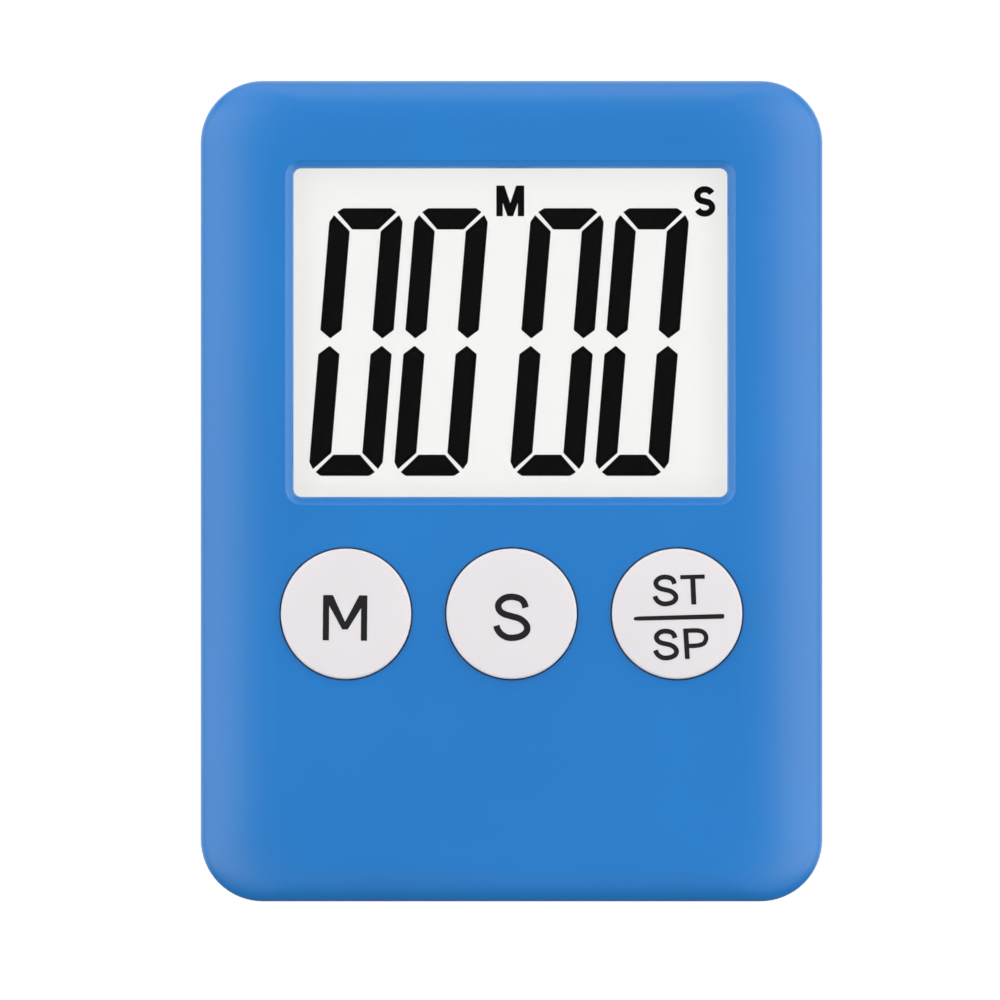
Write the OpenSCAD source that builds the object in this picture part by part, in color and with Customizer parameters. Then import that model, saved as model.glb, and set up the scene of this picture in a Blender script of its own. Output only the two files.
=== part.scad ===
// Pocket lab timer: a thin two-shell case with a large four-digit liquid crystal display,
// three round push buttons, a fold-out stand, two holding magnets and a coin cell bay.
// Frame: +X to the right seen from the front, the front faces -Y, +Z up, bottom edge on z = 0.
// Depth into the case is counted from the front face as d, so y = d - face_back.

/* [Case] */
// Width of the case across the front
body_w = 55; // [54:0.5:58]
// Height of the case
body_h = 72.6; // [72:0.2:76]
// Depth of the two shells together
body_d = 11; // [10.8:0.1:12]
// Radius of the four corners seen from the front
corner_r = 5.5; // [4:0.5:6]
// Wall thickness of both shells
wall = 1.6; // [1.4:0.1:1.8]
// Reach of the front edge rounding in from the left and right sides
edge_side = 8; // [5:0.5:8]
// Reach of the front edge rounding in from the top and bottom
edge_top = 4; // [3:0.5:4.5]
// Depth of the front edge rounding
edge_depth = 2.4; // [2:0.1:2.8]
// Radius of the rear edges
rear_round = 1.5; // [1:0.1:1.6]
// Depth at which the front shell meets the rear shell
parting = 7.8; // [7.6:0.1:7.9]

/* [Window] */
// Width of the clear window
window_w = 38.3; // [36:0.1:39]
// Height of the clear window
window_h = 29; // [27:0.5:30]
// Sideways place of the window's middle
window_x = -0.1; // [-0.3:0.05:0.3]
// Height of the window's middle above the bottom edge
window_z = 50.3; // [49.5:0.1:50.5]
// Width of the sloped edge around the window
bevel_w = 0.7; // [0.3:0.02:0.8]
// Depth of the sloped edge around the window
bevel_d = 0.6; // [0.3:0.05:0.6]
// Thickness of the clear lens
lens_t = 0.8; // [0.6:0.1:0.8]

/* [Digits] */
// Height of a digit
digit_h = 23.7; // [20:0.1:24]
// Width of a digit
digit_w = 6.5; // [6:0.1:6.8]
// Width of a lit segment
seg_t = 1.88; // [1.4:0.01:2]
// Lean of the digits, sideways run per unit of height
lean = 0.083; // [0:0.001:0.12]
// Height of the bottom of the digits
digit_z = 37.65; // [37:0.01:39]
// Distance between the two digits of a pair
digit_pitch = 7.53; // [7.2:0.01:7.8]
// Left edge of the minutes pair, measured at the digits' bottom
minutes_x = -18; // [-18.4:0.1:-17.6]
// Left edge of the seconds pair, measured at the digits' bottom
seconds_x = -0.2; // [-0.6:0.1:0.2]

/* [Buttons] */
// Diameter of a button cap
cap_dia = 11.5; // [10.5:0.1:11.7]
// Distance between neighbouring buttons
button_pitch = 14.6; // [14.2:0.1:15]
// Height of the buttons' middles above the bottom edge
button_z = 25.5; // [25:0.1:25.6]
// How far the caps stand out of the front face
cap_proud = 0.4; // [0.3:0.1:1]
// How far a button is pressed
press_travel = 0.6; // [0.4:0.05:0.6]

/* [Stand] */
// Width of the fold-out stand
stand_w = 18; // [14:0.5:18]
// Height of the stand's hinge pins above the bottom edge
hinge_z = 47; // [44:0.5:47]
// Angle at which the open stand stops
stand_open = 45; // [35:1:50]

/* [Battery] */
// Diameter of the coin cell
cell_dia = 11.6; // [11.6:0.1:11.6]
// Height of the coin cell
cell_t = 5.4; // [5.4:0.1:5.4]
// Distance of the cell's middle to the right of centre
cell_x = 16.8; // [16.8:0.1:17]
// Height of the cell's middle above the bottom edge
cell_z = 9.4; // [9.2:0.1:9.6]

/* [Hidden] */
$fn = 64;
form_fn = 52; // segments round the corners of the shell forms
wire_fn = 24;
edge_steps = 7; // slices in the front edge rounding
rear_steps = 4; // slices in the rear edge rounding
eps = 0.01;
root = 0.2; // how far a rib or a boss sinks into the wall it stands on
gap = 0.05; // clearance between stacked parts
through = 2; // overshoot of cutting shapes
face_back = (body_d - cap_proud) / 2; // depth of the origin plane behind the front face
seam = 0.15; // chamfer along both shells at the parting line
mid_z = body_h / 2;

// window and display stack, in depth order
lip_d = 0.7; // depth of the lens pocket's ledge
pocket_grow = 2; // how much larger the lens pocket is than the window
window_r = 0.7;
pocket_r = window_r + 0.5;
lens_slack = 0.1; // clearance round the lens in its pocket
adhesive_t = 0.1;
adhesive_in = 0.15; // how far the adhesive keeps back from the window
lens_gap = 0.1;
polarizer_t = 0.2;
polarizer_w = 40;
polarizer_h = 30.2;
glass_t = 0.7;
cell_gap = 0.06; // liquid crystal layer between the two glasses
reflector_t = 0.2;
reflector_in = 0.2; // inset of the reflector from the rear glass
lens_d = lip_d + adhesive_t;
polarizer_d = lens_d + lens_t + lens_gap;
front_glass_d = polarizer_d + polarizer_t;
segments_d = front_glass_d + glass_t;
rear_glass_d = segments_d + cell_gap;
reflector_d = rear_glass_d + glass_t;
cushion_d = reflector_d + reflector_t;
lcd_w = 40.8;
lcd_top = 66;
lcd_bottom = 33.4;
ledge_h = 1.9; // contact ledge of the front glass below the rear glass
seal_w = 0.5;
cushion_in = 1; // inset of the foam frame from the rear glass
cushion_rim = 3;
zebra_w = 38;
zebra_h = 1.5;
zebra_up = 0.2; // height of the strip above the front glass's bottom edge

// ribs that hold the display glass in place
rib_t = 0.8;
rib_clear = 0.15;
side_rib_z = [38, 62];
top_rib_w = 30;
bottom_rib_w = 6;
bottom_rib_x = 14;

// board and keypad
board_d = 5.4;
board_t = 1;
board_w = 50;
board_bottom = 18.2;
board_top = 70.2;
board_rear = board_d + board_t;
board_hole_r = 0.95;
board_boss_clear = 0.6; // gap between the board and the screw bosses
corner_cut = [[-25, 69, 4], [25, 69, 4], [25, 19, 3.6]]; // square cuts: x, z and size
pad_t = 0.05;
keypad_t = 0.8;
keypad_w = 42.6;
keypad_bottom = 18.6;
keypad_top = 32.2;
dome_base_r = 4.3;
dome_top_r = 2.7;
dome_hollow_r = 3.7;
dome_roof_r = 2.2;
dome_d = 3.25; // depth of the dome's crown
roof_d = 4.2; // depth of the dome's ceiling
pill_r = 1.75;
pill_t = 0.5;
pill_chamfer = 0.08;
dome_rim = 0.1; // the domes stop this far short of the board
dome_skirt = 0.6; // height of the straight foot of the hollow

// buttons
hole_clear = 0.1;
flange_r = 6.6;
flange_d = wall + gap;
flange_t = 0.8;
cap_chamfer = 0.2;
plunger_r = 2;
key_w = 1;
key_slack = 0.15;
key_in = 6; // distance of the key rib's inner end from the button's axis
key_out = 6.7; // distance of its outer end
button_xs = [-button_pitch, 0, button_pitch];

// fixings, as places [x, z] seen from the front
case_screw_at = [[-23, 68.1], [23, 68.1], [-23, 4.5], [23.4, 21]];
board_screw_at = [[-23.6, 45], [23.6, 45], [-23.6, 31], [23.6, 31]];
boss_foot = 1.3;
case_boss_r = 2;
rear_boss_r = 2.15;
board_boss_r = 1.9;
case_boss_end = 7.3;
pilot_end = 2.9;
case_shank_r = 0.975;
board_shank_r = 0.775;
thread_clear = 0.025;
shank_clear = 0.15;
lip_clear = 0.3; // gap between the lip and the screw bosses
head_seat = 9.8;
counterbore_r = 2;
screw_head_r = 1.8;
screw_head_t = 1.1;
board_head_r = 1.55;
board_head_t = 0.9;
point_h = 0.5; // length of a screw's tapered end
point_r = 0.6; // its radius at the end, as a share of the shank's
head_side = 0.55; // height of a head's straight side, as a share of the head's
head_crown = 0.72; // radius of its flat crown, as a share of the head's
cross_w = 1.15; // reach of the cross recess, as a share of the head's radius
cross_t = 0.28; // width of its slots, likewise
screw_tip = pilot_end + 0.3;
board_cross_deep = 0.4;
case_cross_deep = 0.5;

// stand and its recess in the back
recess_clear = 0.3;
recess_w = stand_w + 2 * recess_clear;
recess_floor = 8.4;
recess_wall = 1;
recess_bottom = 4.5;
recess_top = 49.25;
hinge_d = 9.75;
barrel_r = 1.05;
pin_r = 0.8;
pin_clear = 0.05;
pin_len = 1;
pin_end_gap = 0.15;
notch_r = 3; // finger notch at the stand's free end
notch_d = 9.8;
stand_front = 9.2;
stand_rear = 10.95;
stand_foot = 5;
stand_corner = 1.2;
shoulder_h = 3; // height of the square shoulders below the hinge
panel_in = 2.5; // the sunk panel's inset from the stand's sides
panel_z = [9, 41];
panel_deep = 0.3;
panel_r = 2;
nail_w = 7;
nail_h = 1.2;
nail_deep = 0.6;
stop_slack = 0.03;
heel = ((hinge_d - recess_floor - stop_slack) - (hinge_d - stand_front) * cos(stand_open))
  / sin(stand_open);

// battery bay and cover
well_floor = 2.9;
well_floor_t = 0.8;
well_r = cell_dia / 2 + 0.2;
well_wall = 0.8;
well_inside = well_floor + well_floor_t;
cell_d = 4.1;
cell_cap_r = 4.6; // the cell's smaller contact
cell_cap_t = 0.4;
cell_gasket_r = 5.3;
cell_gasket_t = 0.2;
cell_round = 0.3;
cover_w = 12.5;
cover_top = 16.6;
cover_d = 9.9;
cover_slack = 0.1;
tongue = 0.55;
tongue_d = 10.15;
tongue_t = 0.45;
tongue_z = 2; // height at which the cover's tongues begin
ridge_count = 5;
ridge_z = 10; // height of the lowest grip groove
ridge_pitch = 0.9;
ridge_h = 0.4;
ridge_w = 7.4;
ridge_deep = 0.25;

// battery contacts
contact_t = 0.2;
leaf_w = 4; // sprung leaf against the cell's side
leaf_gap = 0.02;
leaf_d = [4.6, 9];
leaf_slack = 0.2;
leaf_pocket = 0.35; // depth of the leaf's pocket into the well's wall
floor_leaf = 7; // width of the leaf on the well's floor
floor_leaf_h = 6;
tongue_leaf = [2.4, 4];
tail_x = 1.4; // distance of the tails from the cell's middle
tail_out = 0.6; // how far the tails reach past the well's wall
tail_w = [1, 1.2];
tail_slack = 0.2;

// magnets and buzzer
magnet_r = 5;
magnet_t = 2;
magnet_x = 16.5;
magnet_z = 59;
magnet_clear = 0.03;
magnet_chamfer = 0.2;
magnet_wall = 0.9;
magnet_floor = 0.8;
buzzer_z = 60.2;
buzzer_r = 9;
ceramic_r = 6.5;
buzzer_t = 0.2;
buzzer_d = 8.5;
buzzer_ring = 0.9; // the ring reaches this far to both sides of the disc's edge
buzzer_clear = 0.06;
sound_hole_r = 0.65;
sound_ring_r = 3;
wire_r = 0.28;
wire_past = 0.7; // how far a wire runs past a bend, as a share of its radius
wire_rest = board_rear + 0.38; // depth of a wire's end on the board
lead_r = 0.14; // radius of the crystal's leads
lead_rest = board_rear + 0.18;

// finish colours
case_blue = [0.02, 0.2, 0.58];
wire_red = [0.6, 0.05, 0.04];
cap_white = [0.87, 0.85, 0.86];
board_green = [0.05, 0.32, 0.16];
steel = [0.7, 0.7, 0.72];
brass = [0.8, 0.62, 0.25];
ink = [0.02, 0.02, 0.02];
rubber_grey = [0.5, 0.52, 0.55];
glass_tint = [0.8, 0.86, 0.86];

// ---- helpers ----

// a flat outline in x and z, made solid from depth d0 to depth d1
module slab(d0, d1) {
  translate([0, d1 - face_back, 0]) rotate([90, 0, 0]) linear_extrude(d1 - d0) children();
}

// a round bar along the depth
module rod(at, r, d0, d1) {
  slab(d0, d1) translate(at) circle(r);
}

// a block given by its middle in x, its two heights and its two depths
module block(x, w, z0, z1, d0, d1) {
  translate([x - w / 2, d0 - face_back, z0]) cube([w, d1 - d0, z1 - z0]);
}

// a rounded rectangle about the origin
module rounded(w, h, r) {
  square([w - 2 * r, h], center = true);
  square([w, h - 2 * r], center = true);
  for (x = [-1, 1], z = [-1, 1])
    translate([x * (w / 2 - r), z * (h / 2 - r)]) circle(r);
}

// a turned shape whose axis runs along the depth: profile points are [radius, depth]
module turned(at, profile) {
  translate([at[0], -face_back, at[1]]) rotate([-90, 0, 0]) rotate_extrude() polygon(profile);
}

// a thin outline slice of the case, inset by ix and iz
module slice(d, ix, iz, r) {
  slab(d, d + eps) translate([0, mid_z])
    rounded(body_w - 2 * ix, body_h - 2 * iz, r, $fn = form_fn);
}

// the front half's outside when in = 0, and its hollow when in is the wall
module front_form(in) {
  hull() {
    for (i = [0 : edge_steps]) {
      t = 90 * i / edge_steps;
      side = in + (edge_side - in) * (1 - sin(t));
      top = in + (edge_top - in) * (1 - sin(t));
      slice(edge_depth - (edge_depth - in) * cos(t), side, top, corner_r - in);
    }
    slice(parting - seam - eps, in, in, corner_r - in);
    slice(parting - eps, in + (in == 0 ? seam : 0), in + (in == 0 ? seam : 0), corner_r - in);
  }
}

// the rear half's edge section: distance out from the corner centres, against depth
function rear_section() = concat(
  [[0, parting], [corner_r - seam, parting], [corner_r, parting + seam]],
  [for (i = [0 : rear_steps]) let (t = 90 * i / rear_steps)
    [corner_r - rear_round * (1 - cos(t)), body_d - rear_round * (1 - sin(t))]],
  [[0, body_d]]
);

// the same section with its mirror image, half a body apart
function rear_outline(half) = let (side = [for (q = rear_section()) [q[0] + half, q[1]]])
  concat(side, [for (i = [len(side) - 1 : -1 : 0]) [-side[i][0], side[i][1]]]);

// the outside of the rear half: straight runs both ways and four turned corners
module rear_form() {
  run_x = body_w / 2 - corner_r;
  run_z = body_h / 2 - corner_r;
  translate([0, -face_back, mid_z - run_z]) linear_extrude(2 * run_z) polygon(rear_outline(run_x));
  translate([-run_x, -face_back, mid_z]) rotate([0, 90, 0])
    linear_extrude(2 * run_x) polygon([for (q = rear_outline(run_z)) [-q[0], q[1]]]);
  for (x = [-run_x, run_x], z = [mid_z - run_z, mid_z + run_z])
    turned([x, z], rear_section());
}

// a wire along points [x, depth, z]; each length runs a little past its bends
module wire(points, r) {
  translate([0, -face_back, 0])
    for (i = [0 : len(points) - 2]) rod_between(points[i], points[i + 1], r);
}

module rod_between(a, b, r) {
  v = b - a;
  past = r * wire_past;
  translate(a) rotate([0, acos(v[2] / norm(v)), atan2(v[1], v[0])]) translate([0, 0, -past])
    cylinder(h = norm(v) + 2 * past, r = r, $fn = wire_fn);
}

// a cross recess for a screwdriver, sunk from depth d towards the front
module cross_recess(at, d, w, t, deep) {
  block(at[0], w, at[1] - t / 2, at[1] + t / 2, d - deep, d + eps);
  block(at[0], t, at[1] - w / 2, at[1] + w / 2, d - deep, d + eps);
}

// a line of width w along points
function heading(p, i) = let (
  a = p[max(i - 1, 0)],
  b = p[min(i + 1, len(p) - 1)]
) (b - a) / norm(b - a);
function beside(p, i, off) = p[i] + off * [-heading(p, i)[1], heading(p, i)[0]];
module stroke(p, w) {
  last = len(p) - 1;
  polygon(concat(
    [for (i = [0 : last]) beside(p, i, w / 2)],
    [for (i = [0 : last]) beside(p, last - i, -w / 2)]
  ));
}

// ---- display ----

// one upright segment, as it lies at the upper left of a digit
seg_shoulder = 1.22; // height lost at the outer corner
seg_tip = [0.37, 0.6];
seg_inner = 2.04; // height lost at the inner corner
arrow_gap = 0.32; // half the gap between the arrow points at mid height
arrow_h = 0.75;
function upright() = [
  [0, digit_h - seg_shoulder],
  [seg_tip[0], digit_h - seg_tip[1]],
  [seg_t, digit_h - seg_inner],
  [seg_t, digit_h / 2 + arrow_gap + arrow_h],
  [seg_t / 2, digit_h / 2 + arrow_gap],
  [0, digit_h / 2 + arrow_gap + arrow_h]
];

// the top segment of a digit
bar_end = 0.62;
bar_cut = [0.5, 0.34];
bar_inner = 0.2;
function bar() = [
  [bar_end + bar_cut[0], digit_h],
  [digit_w - bar_end - bar_cut[0], digit_h],
  [digit_w - bar_end, digit_h - bar_cut[1]],
  [digit_w - seg_t - bar_inner, digit_h - seg_t],
  [seg_t + bar_inner, digit_h - seg_t],
  [bar_end, digit_h - bar_cut[1]]
];

// mirror a segment's points right (sx = -1) or down (sz = -1), and lean them
function placed(p, sx, sz, x) = [
  for (q = p) let (
    u = sx > 0 ? q[0] : digit_w - q[0],
    v = sz > 0 ? q[1] : digit_h - q[1]
  ) [x + u + lean * v, digit_z + v]
];

module digit_zero(x) {
  for (sx = [-1, 1], sz = [-1, 1]) polygon(placed(upright(), sx, sz, x));
  for (sz = [-1, 1]) polygon(placed(bar(), 1, sz, x));
}

mark_h = 2.72;
mark_t = 0.57;
mark_w = [2.47, 1.9];
mark_at = [[-0.11, 62], [17.1, 61.95]];
s_start = 20; // angle of the upper bow's free end
s_sweep = 215; // turn of each bow
s_steps = 10;
function letter_s(w, h) = let (
  rx = w / 2,
  ry = h / 4,
  bow = [for (i = [0 : s_steps]) s_start + s_sweep * i / s_steps]
) concat(
  [for (a = bow) [rx * cos(a), ry + ry * sin(a)]],
  [for (i = [s_steps : -1 : 0]) [-rx * cos(bow[i]), -ry - ry * sin(bow[i])]]
);
m_arm = 1.25; // width of the M's shoulders, as a share of its stroke
m_notch = 0.07; // how far its three notches reach past mid height
m_foot = 0.25; // half the width of the point between its legs
function letter_m(w, h, t) = [
  [-w / 2, -h / 2], [-w / 2, h / 2], [-w / 2 + m_arm * t, h / 2], [0, -m_notch * h],
  [w / 2 - m_arm * t, h / 2], [w / 2, h / 2], [w / 2, -h / 2], [w / 2 - t, -h / 2],
  [w / 2 - t, -m_notch * h], [m_foot, -h / 2], [-m_foot, -h / 2], [-w / 2 + t, -m_notch * h],
  [-w / 2 + t, -h / 2]
];

module lcd_segments() color(ink) {
  slab(segments_d, segments_d + cell_gap) {
    for (x = [minutes_x, minutes_x + digit_pitch, seconds_x, seconds_x + digit_pitch])
      digit_zero(x);
    translate(mark_at[0]) polygon(letter_m(mark_w[0], mark_h, mark_t));
    translate(mark_at[1]) stroke(letter_s(mark_w[1] - mark_t, mark_h - mark_t), mark_t);
  }
}

module lens_outline() {
  grow = pocket_grow - 2 * lens_slack;
  rounded(window_w + grow, window_h + grow, pocket_r);
}

module window_lens() color(glass_tint) {
  slab(lens_d, lens_d + lens_t) translate([window_x, window_z]) lens_outline();
}

module lens_adhesive() color(ink) {
  slab(lip_d, lens_d) translate([window_x, window_z]) difference() {
    lens_outline();
    rounded(window_w + 2 * adhesive_in, window_h + 2 * adhesive_in, window_r);
  }
}

module lcd_polarizer() color(glass_tint) {
  slab(polarizer_d, front_glass_d) translate([window_x, window_z])
    square([polarizer_w, polarizer_h], center = true);
}

module lcd_front_glass() color(glass_tint) {
  block(0, lcd_w, lcd_bottom, lcd_top, front_glass_d, segments_d);
}

// a block over the rear glass, inset on all four sides
module rear_block(in, d0, d1) {
  block(0, lcd_w - 2 * in, lcd_bottom + ledge_h + in, lcd_top - in, d0, d1);
}

module lcd_seal() color(rubber_grey) difference() {
  rear_block(0, segments_d, rear_glass_d);
  rear_block(seal_w, segments_d - eps, rear_glass_d + eps);
}

module lcd_rear_glass() color(glass_tint) {
  rear_block(0, rear_glass_d, reflector_d);
}

module lcd_reflector() color(cap_white) {
  rear_block(reflector_in, reflector_d, cushion_d);
}

module lcd_cushion() color(ink) difference() {
  rear_block(cushion_in, cushion_d, board_d);
  rear_block(cushion_in + cushion_rim, cushion_d - eps, board_d + eps);
}

// carbon and rubber layers of the strip that joins the glass to the board
module zebra_strip() color(rubber_grey) {
  foot = lcd_bottom + zebra_up;
  block(0, zebra_w, foot, foot + zebra_h, segments_d, board_d);
}

// ---- shells ----

module key_rib(x) {
  block(x, key_w, button_z + key_in, button_z + key_out, wall - root, flange_d + flange_t);
}

module front_shell() color(case_blue) difference() {
  union() {
    difference() {
      front_form(0);
      front_form(wall);
    }
    for (p = case_screw_at) rod(p, case_boss_r, boss_foot, case_boss_end);
    for (p = board_screw_at) rod(p, board_boss_r, boss_foot, board_d);
    for (x = button_xs) key_rib(x);
    // locating ribs round the display glass
    for (s = [-1, 1])
      block(s * ((lcd_w + rib_t) / 2 + rib_clear), rib_t, side_rib_z[0], side_rib_z[1], wall - root,
        reflector_d);
    block(0, top_rib_w, lcd_top + rib_clear, lcd_top + rib_clear + rib_t, wall - root, reflector_d);
    for (s = [-1, 1])
      block(s * bottom_rib_x, bottom_rib_w, lcd_bottom - rib_clear - rib_t, lcd_bottom - rib_clear,
        wall - root, segments_d);
  }
  // window with its sloped edge, and the lens pocket behind it
  slab(-through, wall + through) translate([window_x, window_z]) rounded(window_w, window_h, window_r);
  hull() {
    slab(-eps, 0) translate([window_x, window_z])
      rounded(window_w + 2 * bevel_w, window_h + 2 * bevel_w, window_r + bevel_w);
    slab(bevel_d - eps, bevel_d) translate([window_x, window_z]) rounded(window_w, window_h, window_r);
  }
  slab(lip_d, wall + eps) translate([window_x, window_z])
    rounded(window_w + pocket_grow, window_h + pocket_grow, pocket_r);
  // button holes
  for (x = button_xs)
    rod([x, button_z], cap_dia / 2 + hole_clear, -through, wall + gap);
  // screw pilots
  for (p = case_screw_at)
    rod(p, case_shank_r + thread_clear, pilot_end, case_boss_end + eps);
  for (p = board_screw_at)
    rod(p, board_shank_r + thread_clear, pilot_end, board_d + eps);
}

lip_t = 0.6;
lip_h = 1;
rear_floor = body_d - wall + root; // where the parts on the rear wall are rooted

// the case's outline, inset on all sides
module inset_outline(in) {
  translate([0, mid_z]) rounded(body_w - 2 * in, body_h - 2 * in, corner_r - in);
}

// the hollow tray of the rear shell, with a lip that stands inside the front shell's wall
module rear_tray() difference() {
  union() {
    rear_form();
    difference() {
      slab(parting - lip_h, parting + root) inset_outline(wall + gap);
      for (p = case_screw_at)
        rod(p, case_boss_r + lip_clear, parting - 2 * lip_h, case_boss_end + 2 * gap);
    }
  }
  slab(parting - through, parting + lip_h) inset_outline(wall + gap + lip_t);
  slab(parting + lip_h - root, body_d - wall) inset_outline(wall);
}

module tail_slot(side, w, d0, d1) {
  block(cell_x + side * tail_x, w, cell_z + leaf_w, cell_z + well_r + well_wall + 1, d0, d1);
}

module rear_shell() color(case_blue) difference() {
  union() {
    rear_tray();
    for (p = case_screw_at) rod(p, rear_boss_r, case_boss_end + gap, rear_floor);
    // box behind the stand recess, battery well, magnet cups and buzzer ring
    block(0, recess_w + 2 * recess_wall, recess_bottom - recess_wall, recess_top + recess_wall,
      recess_floor - recess_wall, rear_floor);
    rod([cell_x, cell_z], well_r + well_wall, well_floor, rear_floor);
    for (s = [-1, 1])
      rod([s * magnet_x, magnet_z], magnet_r + magnet_wall, body_d - magnet_t - magnet_floor,
        rear_floor);
    difference() {
      rod([0, buzzer_z], buzzer_r + buzzer_ring, buzzer_d - buzzer_t, rear_floor);
      rod([0, buzzer_z], buzzer_r - buzzer_ring, buzzer_d - through, body_d);
      rod([0, buzzer_z], buzzer_r + buzzer_clear, buzzer_d - through, buzzer_d + buzzer_t);
    }
  }
  // stand recess, hinge holes and finger notch
  block(0, recess_w, recess_bottom, recess_top, recess_floor, body_d + through);
  translate([0, hinge_d - face_back, hinge_z]) rotate([0, 90, 0])
    cylinder(h = stand_w + 2 * (pin_len + pin_end_gap), r = pin_r + pin_clear, center = true);
  rod([0, recess_bottom], notch_r, notch_d, body_d + through);
  // battery well, cover slot and cover grooves
  rod([cell_x, cell_z], well_r, well_inside, body_d + through);
  block(cell_x, cover_w + 2 * cover_slack, -through, cover_top + cover_slack, cover_d - gap,
    body_d + through);
  block(cell_x, cover_w + 2 * (tongue + cover_slack + gap), -through, cover_top + cover_slack,
    tongue_d - cover_slack, tongue_d + tongue_t + cover_slack);
  // pocket and slots for the battery contacts
  block(cell_x, leaf_w + 2 * leaf_slack, cell_z + leaf_w, cell_z + well_r + leaf_pocket, well_inside,
    leaf_d[1] + leaf_slack / 2);
  tail_slot(-1, tail_w[0] + tail_slack, leaf_d[0] - tail_slack, leaf_d[0] + contact_t + 3 * tail_slack);
  tail_slot(1, tail_w[1] + 2 * tail_slack, well_inside, well_inside + contact_t + tail_slack);
  // magnet pockets
  for (s = [-1, 1])
    rod([s * magnet_x, magnet_z], magnet_r + magnet_clear, body_d - magnet_t, body_d + through);
  // sound holes
  rod([0, buzzer_z], sound_hole_r, buzzer_d, body_d + through);
  for (a = [0 : 60 : 300])
    rod([sound_ring_r * cos(a), buzzer_z + sound_ring_r * sin(a)], sound_hole_r, buzzer_d,
      body_d + through);
  // screw holes
  for (p = case_screw_at) {
    rod(p, case_shank_r + shank_clear, case_boss_end, body_d);
    rod(p, counterbore_r, head_seat, body_d + through);
  }
}

// ---- board ----

module circuit_board() color(board_green) difference() {
  block(0, board_w, board_bottom, board_top, board_d, board_rear);
  for (p = case_screw_at) rod(p, case_boss_r + board_boss_clear, board_d - eps, board_rear + eps);
  for (c = corner_cut)
    block(c[0], c[2], c[1] - c[2] / 2, c[1] + c[2] / 2, board_d - eps, board_rear + eps);
  for (p = board_screw_at) rod(p, board_hole_r, board_d - eps, board_rear + eps);
}

pad_r = 2.3;
pad_pitch = 0.7;
pad_slit = 0.25;
pad_shift = 0.5; // sideways run of every other slit

// printed contact combs under the three domes
module contact_pads() color(ink) {
  slab(board_d - pad_t, board_d) for (x = button_xs) translate([x, button_z]) difference() {
    circle(pad_r);
    for (i = [-3 : 3])
      translate([i % 2 == 0 ? pad_shift : -pad_shift, i * pad_pitch])
        square([2 * pad_r, pad_slit], center = true);
  }
}

blob_at = [-17.2, 40];
blob_r = 4.2;
blob_t = 1.3;
blob_steps = 6;

module chip_blob() color(ink) {
  turned(blob_at, [for (i = [0 : blob_steps]) let (a = 90 * i / blob_steps)
    [blob_r * cos(a), board_rear + blob_t * sin(a)]]);
}

crystal_at = [17.4, 36];
crystal_r = 1;
crystal_h = 6;
lead_x = [0.35, 0.6]; // distance of a lead from the middle, at the can and at the board
lead_z = [-0.05, -1.2, -1.8]; // heights of its points above the can's bottom

module crystal_can() color(steel) {
  axis_d = board_rear + crystal_r + eps;
  translate([crystal_at[0], axis_d - face_back, crystal_at[1]]) cylinder(h = crystal_h, r = crystal_r);
  for (s = [-1, 1])
    wire([
      [crystal_at[0] + s * lead_x[0], axis_d, crystal_at[1] + lead_z[0]],
      [crystal_at[0] + s * lead_x[0], axis_d, crystal_at[1] + lead_z[1]],
      [crystal_at[0] + s * lead_x[1], lead_rest, crystal_at[1] + lead_z[2]]
    ], lead_r);
}

// small two-ended parts, as [x, z] of their middles
capacitor_at = [[-14.4, 33], [-17.4, 33], [14.2, 44.5]];
resistor_at = [[14.2, 34], [14.2, 37.4], [-20.4, 33]];
chip_size = [1.2, 2];
capacitor_t = 0.8;
resistor_t = 0.5;

module chip_part(at, size, t) {
  block(at[0], size[0], at[1] - size[1] / 2, at[1] + size[1] / 2, board_rear, board_rear + t);
}

module capacitors() color(brass) {
  for (p = capacitor_at) chip_part(p, chip_size, capacitor_t);
}

module resistors() color(ink) {
  for (p = resistor_at) chip_part(p, chip_size, resistor_t);
}

transistor_at = [14.2, 41];
transistor_size = [1.4, 2.9];
transistor_t = 0.95;
leg_at = [[0.95, 0.95], [0.95, -0.95], [-0.95, 0]];
leg_size = [0.6, 0.4];
leg_t = 0.15;

module transistor() color(ink) {
  chip_part(transistor_at, transistor_size, transistor_t);
  for (leg = leg_at) chip_part(transistor_at + leg, leg_size, leg_t);
}

module pan_screw(at, head_r, head_t, seat, shank_r, end, deep) difference() {
  turned(at, [[0, end], [shank_r * point_r, end], [shank_r, end + point_h], [shank_r, seat],
    [head_r, seat], [head_r, seat + head_t * head_side], [head_r * head_crown, seat + head_t],
    [0, seat + head_t]]);
  cross_recess(at, seat + head_t, head_r * cross_w, head_r * cross_t, deep);
}

module board_screws() color(steel) {
  for (p = board_screw_at)
    pan_screw(p, board_head_r, board_head_t, board_rear, board_shank_r, screw_tip, board_cross_deep);
}

module case_screws() color(steel) {
  for (p = case_screw_at)
    pan_screw(p, screw_head_r, screw_head_t, head_seat, case_shank_r, screw_tip, case_cross_deep);
}

// ---- keypad and buttons ----

// one rubber sheet with three hollow domes that lift the buttons
module rubber_keypad() color(rubber_grey) difference() {
  union() {
    block(0, keypad_w, keypad_bottom, keypad_top, board_d - keypad_t, board_d);
    for (x = button_xs)
      turned([x, button_z], [[0, dome_d], [dome_top_r, dome_d], [dome_base_r, board_d - keypad_t],
        [dome_base_r, board_d - dome_rim], [0, board_d - dome_rim]]);
  }
  for (x = button_xs)
    turned([x, button_z], [[0, roof_d], [dome_roof_r, roof_d], [dome_hollow_r, board_d - dome_skirt],
      [dome_hollow_r, board_d + through], [0, board_d + through]]);
}

module carbon_pill(x) color(ink) {
  turned([x, button_z], [[0, roof_d], [pill_r, roof_d], [pill_r, roof_d + pill_t - pill_chamfer],
    [pill_r - pill_chamfer, roof_d + pill_t], [0, roof_d + pill_t]]);
}

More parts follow.
